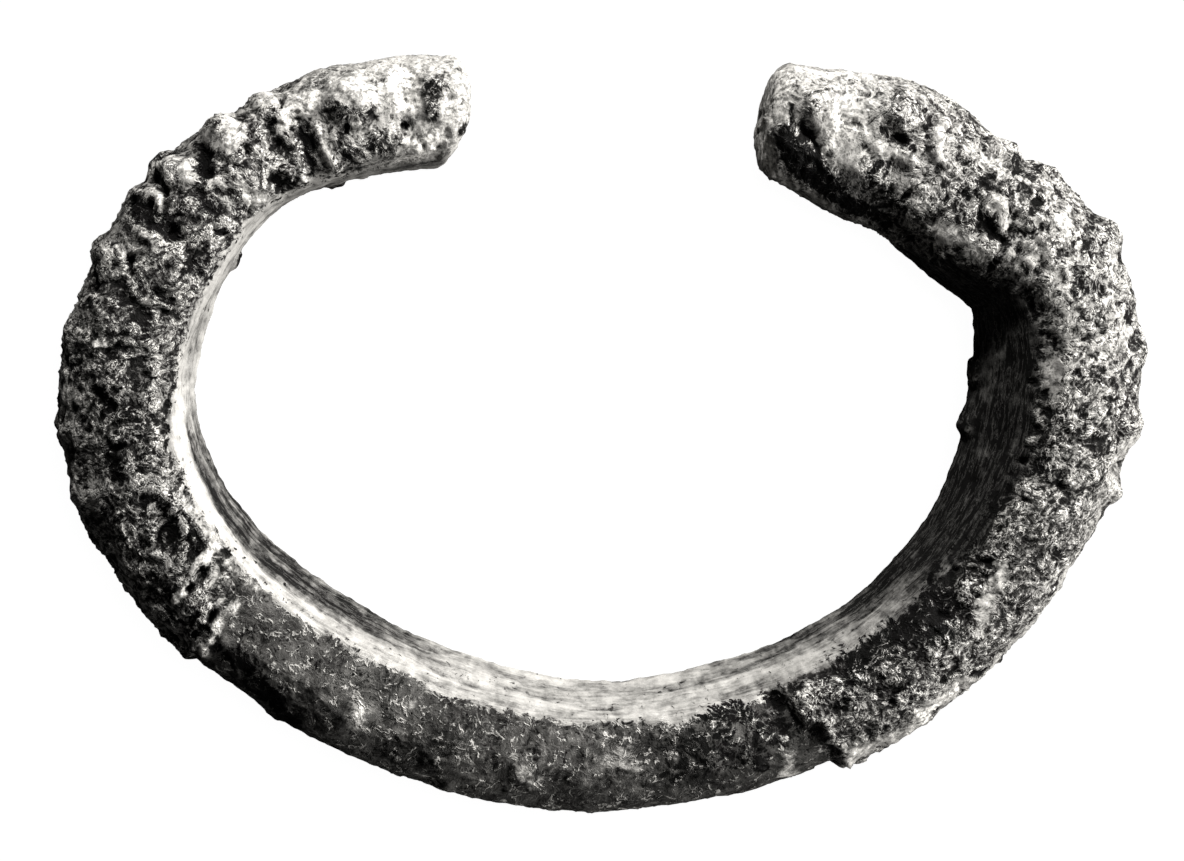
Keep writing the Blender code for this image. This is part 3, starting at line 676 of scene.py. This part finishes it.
# Nodes, made shorter to write.
class Nodes:
    def __init__(self, tree):
        self.tree = tree

    def add(self, kind, inputs=None, **settings):
        node = self.tree.nodes.new(kind)
        for name, value in settings.items():
            setattr(node, name, value)
        for name, value in (inputs or {}).items():
            if isinstance(value, bpy.types.NodeSocket):
                self.tree.links.new(value, node.inputs[name])
            else:
                node.inputs[name].default_value = value
        return node

    def field(self, name):
        return self.add("ShaderNodeAttribute", attribute_name=name).outputs["Fac"]

    def vectorField(self, name):
        return self.add("ShaderNodeAttribute", attribute_name=name).outputs["Vector"]

    def noise(self, place, scale, detail=4, roughness=0.55, distortion=0.0):
        inputs = {"Vector": place, "Scale": scale, "Detail": detail}
        inputs.update({"Roughness": roughness, "Distortion": distortion})
        return self.add("ShaderNodeTexNoise", inputs).outputs["Fac"]

    def math(self, operation, a, b=0.0):
        return self.add("ShaderNodeMath", {0: a, 1: b}, operation=operation).outputs[0]

    def swing(self, value, by, middle=0.5):
        # how far a value is from its middle, stronger or weaker
        return self.math("MULTIPLY", self.math("SUBTRACT", value, middle), by)

    def distanceFrom(self, value, middle):
        return self.math("ABSOLUTE", self.math("SUBTRACT", value, middle))

    def vector(self, operation, a, b):
        return self.add("ShaderNodeVectorMath", {0: a, 1: b}, operation=operation).outputs[0]

    def scaled(self, a, by):
        return self.add("ShaderNodeVectorMath", {0: a, "Scale": by}, operation="SCALE").outputs[0]

    def remap(self, value, low, high, toLow=0.0, toHigh=1.0):
        inputs = {"Value": value, "From Min": low, "From Max": high, "To Min": toLow, "To Max": toHigh}
        return self.add("ShaderNodeMapRange", inputs, interpolation_type="SMOOTHSTEP").outputs["Result"]

    def mix(self, share, a, b):
        return self.add("ShaderNodeMix", {0: share, 6: a, 7: b}, data_type="RGBA").outputs[2]


def warmGrey(value):
    return (*(value * share for share in finish["tint"]), 1)


def makeFoldGroup():
    # crumpled fibres: creased noise in three sizes, on places that broader noise has dragged into strands,
    # with pale thread lines painted as highlights and a painted shadow line beside each
    group = bpy.data.node_groups.new("rustFolds", "ShaderNodeTree")
    for name, kind in (("Place", "Vector"), ("Scale", "Float"), ("Drag", "Float")):
        group.interface.new_socket(name, in_out="INPUT", socket_type="NodeSocket" + kind)
    for name in ("Fold", "ThreadHighlight", "Shade", "Tone"):
        group.interface.new_socket(name, in_out="OUTPUT", socket_type="NodeSocketFloat")
    n = Nodes(group)
    given = n.add("NodeGroupInput").outputs
    place = n.scaled(given["Place"], given["Scale"])
    push = n.add("ShaderNodeTexNoise", {"Vector": place, "Scale": 0.42, "Detail": 2.0}).outputs["Color"]
    push = n.scaled(n.vector("SUBTRACT", push, (0.5, 0.5, 0.5)), given["Drag"])
    place = n.vector("ADD", place, push)
    fold = None
    for size, weight in ((1.0, 0.5), (2.1, 0.3), (4.3, 0.2)):
        away = n.distanceFrom(n.noise(place, size, 0), 0.5)
        crease = n.math("SUBTRACT", 1.0, n.math("MULTIPLY", away, 4.5))
        layer = n.math("MULTIPLY", crease, weight)
        fold = layer if fold is None else n.math("ADD", fold, layer)
    tone = n.noise(place, 0.8, 4, 0.6)
    # a pale line where the noise crosses its middle is a painted highlight, and the dark line just off it is
    # a painted shadow, as if the thread were raised and lit
    line = n.noise(place, 1.3, 3, 0.5)
    threadHighlight = n.remap(n.distanceFrom(line, 0.5), 0.045, 0.0)
    shade = n.remap(n.distanceFrom(line, 0.43), 0.05, 0.0)
    n.add("NodeGroupOutput", {"Fold": fold, "ThreadHighlight": threadHighlight, "Shade": shade, "Tone": tone})
    return group


# The iron's finish: greys from dark to pale, then how worn the heads are and how much each mark covers.
# Then the grain: how many go to a metre, for folds how far they are dragged too, and depths in metres.
finish = {
    "tint": (1, 0.965, 0.90),
    "crustDark": 0.012,
    "crustMid": 0.145,
    "crustPale": 0.40,
    "bareDark": 0.016,
    "bareMid": 0.066,
    "barePale": 0.36,
    "innerDark": 0.004,
    "innerPale": 0.23,
    "wornDark": 0.11,
    "wornPale": 0.26,
    "polished": 0.46,
    # near black: stains, and painted shade in hollows, recesses and beside pale lines
    "stainAndShade": 0.003,
    "leftHeadPaleness": 0.46,
    "rightHeadPaleness": 0.38,
    "muzzlePaleness": 0.5,
    "threadHighlightCover": 0.85,
    "blotchCover": 0.9,
    "pitCover": 0.9,
    "curlCover": 0.62,
    "fibreCover": 0.18,
    "coarseFolds": (950, 4.4),
    "smallFolds": (2400, 3.8),
    "curledFolds": (540, 2.2),
    "broadPatches": 170,
    "blotches": 660,
    "mottles": 900,
    "strewing": 1100,
    "pits": 1500,
    "grain": 3000,
    "speckle": 5200,
    "foldDepth": 0.00015,
    "speckleDepth": 0.00003,
    "metallic": 0.2,
    "shine": 0.02,
}


def makeIron():
    material = bpy.data.materials.new("rustedIron")
    material.use_nodes = True
    material.node_tree.nodes.clear()
    n = Nodes(material.node_tree)
    foldGroup = makeFoldGroup()
    place = n.add("ShaderNodeTexCoord").outputs["Object"]

    def folds(scale, drag):
        inputs = {"Place": place, "Scale": scale, "Drag": drag}
        return n.add("ShaderNodeGroup", inputs, node_tree=foldGroup).outputs

    def grey(name):
        return warmGrey(finish[name])

    names = ("cavity", "inner", "bare", "streak", "tone", "innerLightAndShade", "hollow")
    cavity, inner, bare, streak, tone, within, hollow = (n.field(name) for name in names)
    coarse, small, curled = (folds(*finish[name]) for name in ("coarseFolds", "smallFolds", "curledFolds"))
    broad = n.noise(place, finish["broadPatches"], 3)
    speckle = n.noise(place, finish["speckle"], 2, 0.6)
    grain = n.math("SUBTRACT", n.noise(place, finish["grain"], 3, 0.65), 0.5)
    folded = n.math("ADD", n.math("MULTIPLY", coarse["Fold"], 0.6), n.math("MULTIPLY", small["Fold"], 0.4))

    # crust: nearly black, greyer on its folds, with pale threads along them that are painted highlights,
    # black blotches between, and painted shadow lines beside the threads
    lifted = n.math("ADD", folded, n.swing(broad, 1.2))
    lifted = n.math("ADD", lifted, n.math("MULTIPLY", grain, 0.7))
    crust = n.mix(n.remap(lifted, 0.30, 0.95), grey("crustDark"), grey("crustMid"))
    threadHighlights = n.math("MAXIMUM", coarse["ThreadHighlight"], small["ThreadHighlight"])
    # the painted highlights are kept to raised places
    threadHighlights = n.math("MULTIPLY", threadHighlights, n.remap(cavity, 0.40, 0.66))
    crust = n.mix(n.math("MULTIPLY", threadHighlights, finish["threadHighlightCover"]), crust, grey("crustPale"))
    blotch = n.remap(n.noise(place, finish["blotches"], 4, 0.68, 1.8), 0.49, 0.43)
    blackened = n.math("MAXIMUM", blotch, n.math("MULTIPLY", coarse["Shade"], 0.5))
    crust = n.mix(n.math("MULTIPLY", blackened, finish["blotchCover"]), crust, grey("stainAndShade"))
    # bare stretch: smooth and dark, with a few pale curls that are painted highlights, and painted shadow
    # beside them among the pits
    strewn = n.remap(n.noise(place, finish["strewing"], 3, 0.6), 0.50, 0.56)
    curls = n.math("MAXIMUM", curled["ThreadHighlight"], n.math("MULTIPLY", small["ThreadHighlight"], 0.25))
    curls = n.math("MULTIPLY", curls, strewn)
    mottled = n.math("ADD", broad, n.swing(curled["Tone"], 1.2))
    bareColour = n.mix(n.remap(mottled, 0.35, 0.75), grey("bareDark"), grey("bareMid"))
    pits = n.remap(n.noise(place, finish["pits"], 3, 0.65, 1.0), 0.42, 0.34)
    # the painted shadow lines beside the pale curls join the pits
    pits = n.math("MAXIMUM", pits, n.math("MULTIPLY", curled["Shade"], n.math("MULTIPLY", strewn, 0.9)))
    bareColour = n.mix(n.math("MULTIPLY", pits, finish["pitCover"]), bareColour, grey("stainAndShade"))
    bareColour = n.mix(n.math("MULTIPLY", curls, finish["curlCover"]), bareColour, grey("barePale"))
    colour = n.mix(bare, crust, bareColour)
    # worn pale and stained dark places; some are painted light on edges turned toward the lamps, and painted
    # shade on sides turned away
    ragged = n.math("ADD", tone, n.swing(folded, 0.34, 0.4))
    fibrous = n.math("ADD", tone, n.swing(folded, 0.8))
    wornGrain = n.math("ADD", folded, n.math("MULTIPLY", grain, 2.4))
    wornColour = n.mix(n.remap(wornGrain, 0.0, 0.8), grey("wornDark"), grey("wornPale"))
    polish = n.math("ADD", ragged, n.math("MULTIPLY", grain, 0.8))
    wornColour = n.mix(n.remap(polish, 0.86, 1.16), wornColour, grey("polished"))
    wornAndLit = n.remap(ragged, 0.52, 0.90)
    colour = n.mix(wornAndLit, colour, wornColour)
    # inner face: streaked along the bar, with a frayed edge; its paleness by place is painted light and shade
    onInner = n.remap(n.math("ADD", inner, n.swing(folded, 0.9)), 0.35, 0.65)
    fine = n.noise(n.vectorField("streakPlace"), 2.2, 6, 0.70, 0.4)
    streaked = n.math("ADD", n.swing(streak, 0.6), within)
    mottle = n.math("ADD", fine, n.noise(place, finish["mottles"], 4, 0.65))
    streaked = n.math("ADD", streaked, n.swing(mottle, 1.25, 1.0))
    innerColour = n.mix(n.remap(streaked, 0.0, 1.15), grey("innerDark"), grey("innerPale"))
    fibres = n.remap(n.distanceFrom(fine, 0.5), 0.022, 0.0)
    innerColour = n.mix(n.math("MULTIPLY", fibres, finish["fibreCover"]), innerColour, grey("innerPale"))
    colour = n.mix(onInner, colour, innerColour)
    # stains over both, some of them painted shade, and painted shade near black in the hollows and recesses
    stainedAndShaded = n.math("ADD", fibrous, n.math("MULTIPLY", onInner, 0.1))
    colour = n.mix(n.remap(stainedAndShaded, 0.40, 0.14), colour, grey("stainAndShade"))
    hollowed = n.remap(n.math("SUBTRACT", hollow, n.math("MULTIPLY", folded, 1.2)), -0.15, 0.35)
    sunk = n.remap(n.math("ADD", cavity, n.swing(folded, 0.4)), 0.36, 0.12)
    deep = n.math("MULTIPLY", n.math("MAXIMUM", sunk, hollowed), n.remap(wornAndLit, 0.2, 1.0, 0.88, 0.35))
    colour = n.mix(deep, colour, grey("stainAndShade"))

    crustBump = n.math("MULTIPLY", folded, n.remap(wornAndLit, 0.0, 1.0, 1.0, 0.3))
    bareBump = n.math("ADD", n.math("MULTIPLY", curls, 0.5), n.math("MULTIPLY", folded, 0.35))
    height = n.add("ShaderNodeMix", {0: bare, 2: crustBump, 3: bareBump}).outputs[0]
    height = n.add("ShaderNodeMix", {0: onInner, 2: height, 3: fine}).outputs[0]
    bumpSmall = n.add("ShaderNodeBump", {"Strength": 1.0, "Distance": finish["foldDepth"], "Height": height})
    bumpTiny = n.add("ShaderNodeBump", {
        "Strength": 0.5, "Distance": finish["speckleDepth"], "Height": speckle,
        "Normal": bumpSmall.outputs["Normal"],
    })
    rough = n.math("ADD", n.remap(speckle, 0.35, 0.7, 0.0, 0.15), n.remap(lifted, 0.2, 0.8, 0.75, 0.38))
    rough = n.math("MAXIMUM", rough, n.math("MULTIPLY", n.math("MAXIMUM", deep, blotch), 0.95))
    shader = n.add("ShaderNodeBsdfPrincipled", {
        "Base Color": colour, "Roughness": rough, "Metallic": finish["metallic"],
        "Specular IOR Level": finish["shine"], "Normal": bumpTiny.outputs["Normal"],
    })
    n.add("ShaderNodeOutputMaterial", {"Surface": shader.outputs["BSDF"]})
    return material


# The floor, in metres. It lies a hair under the bracelet, and its glow keeps it an even white.
floorLook = {"halfWidth": 1.5, "height": -0.0002, "grey": 0.5, "roughness": 0.9, "shine": 0.1, "glow": 0.97}


def makeFloor():
    material = bpy.data.materials.new("paleFloor")
    material.use_nodes = True
    material.node_tree.nodes.clear()
    n = Nodes(material.node_tree)
    grey = floorLook["grey"]
    shader = n.add("ShaderNodeBsdfPrincipled", {
        "Base Color": (grey, grey, grey, 1), "Roughness": floorLook["roughness"],
        "Specular IOR Level": floorLook["shine"],
        "Emission Color": (1, 1, 1, 1), "Emission Strength": floorLook["glow"],
    })
    n.add("ShaderNodeOutputMaterial", {"Surface": shader.outputs["BSDF"]})
    mesh = bpy.data.meshes.new("floor")
    half, height = floorLook["halfWidth"], floorLook["height"]
    corners = [(-half, -half, height), (half, -half, height), (half, half, height), (-half, half, height)]
    mesh.from_pydata(corners, [], [(0, 1, 2, 3)])
    mesh.materials.append(material)
    floor = bpy.data.objects.new("floor", mesh)
    bpy.context.scene.collection.objects.link(floor)
    # the floor's own glow stays on the floor, so the bracelet keeps its dark sides
    glowOn = bpy.data.collections.new("glowOn")
    glowOn.objects.link(floor)
    floor.light_linking.receiver_collection = glowOn


# Lights: direction is (degrees clockwise from the picture's top, degrees above the floor).
skyStrength = 0.045
lights = {
    "key": {"direction": (60, 22), "distance": 0.6, "size": 0.06, "power": 16.0},
    "side": {"direction": (118, 13), "distance": 0.6, "size": 0.10, "power": 6.0},
    "back": {"direction": (1, 24), "distance": 0.6, "size": 0.10, "power": 9.0},
    "top": {"direction": (30, 70), "distance": 0.8, "size": 0.5, "power": 0.8},
}


def makeLights(bracelet):
    keyOn = bpy.data.collections.new("keyOn")
    keyOn.objects.link(bracelet)
    for name, light in lights.items():
        data = bpy.data.lights.new(name, "AREA")
        data.energy, data.size = light["power"], light["size"]
        bearing, height = (math.radians(a) for a in light["direction"])
        level = math.cos(height)
        way = Vector((math.sin(bearing) * level, math.cos(bearing) * level, math.sin(height)))
        lamp = bpy.data.objects.new(name, data)
        if name != "top":
            lamp.light_linking.receiver_collection = keyOn  # no hard shadow on the floor
        lamp.location = way * light["distance"]
        lamp.rotation_euler = way.to_track_quat("Z", "Y").to_euler()
        bpy.context.scene.collection.objects.link(lamp)
    world = bpy.data.worlds.new("studio")
    world.use_nodes = True
    background = world.node_tree.nodes["Background"]
    background.inputs["Color"].default_value = (1, 1, 1, 1)
    background.inputs["Strength"].default_value = skyStrength
    bpy.context.scene.world = world


# The camera: how far it leans from straight above, in degrees, its distance in metres, and the place
# on the bracelet, in millimetres, that it looks at.
view = {
    "tiltLeft": 7.0,
    "tiltBack": 4.0,
    "distance": 0.38,
    "target": (-1.23, 0.4, 5.0),
    "pixelsAcross": 1184,
    "pixelsPerMm": 12.6,
    "sensorWidth": 36,
}


def makeCamera():
    camera = bpy.data.cameras.new("camera")
    camera.sensor_width = view["sensorWidth"]
    camera.lens = view["sensorWidth"] * view["pixelsPerMm"] * view["distance"] / mm / view["pixelsAcross"]
    target = Vector(view["target"]) * mm
    leanLeft, leanBack = math.radians(view["tiltLeft"]), math.radians(view["tiltBack"])
    tilt = Vector((-math.tan(leanLeft), math.tan(leanBack), 1)).normalized()
    piece = bpy.data.objects.new("camera", camera)
    piece.location = target + tilt * view["distance"]
    forward = -tilt
    right = forward.cross(Vector((0, 1, 0))).normalized()
    upward = right.cross(forward)
    rotation = np.array([right, upward, -forward]).T
    piece.rotation_euler = Matrix(rotation.tolist()).to_euler()
    bpy.context.scene.collection.objects.link(piece)
    bpy.context.scene.camera = piece


bracelet = makeBracelet()
bracelet.data.materials.append(makeIron())
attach(bracelet, "root")
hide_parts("bracelet")
print("iron: done")
makeFloor()
makeLights(bracelet)
makeCamera()
bpy.context.scene.view_settings.view_transform = "Standard"
print("stage, lights and camera: done")
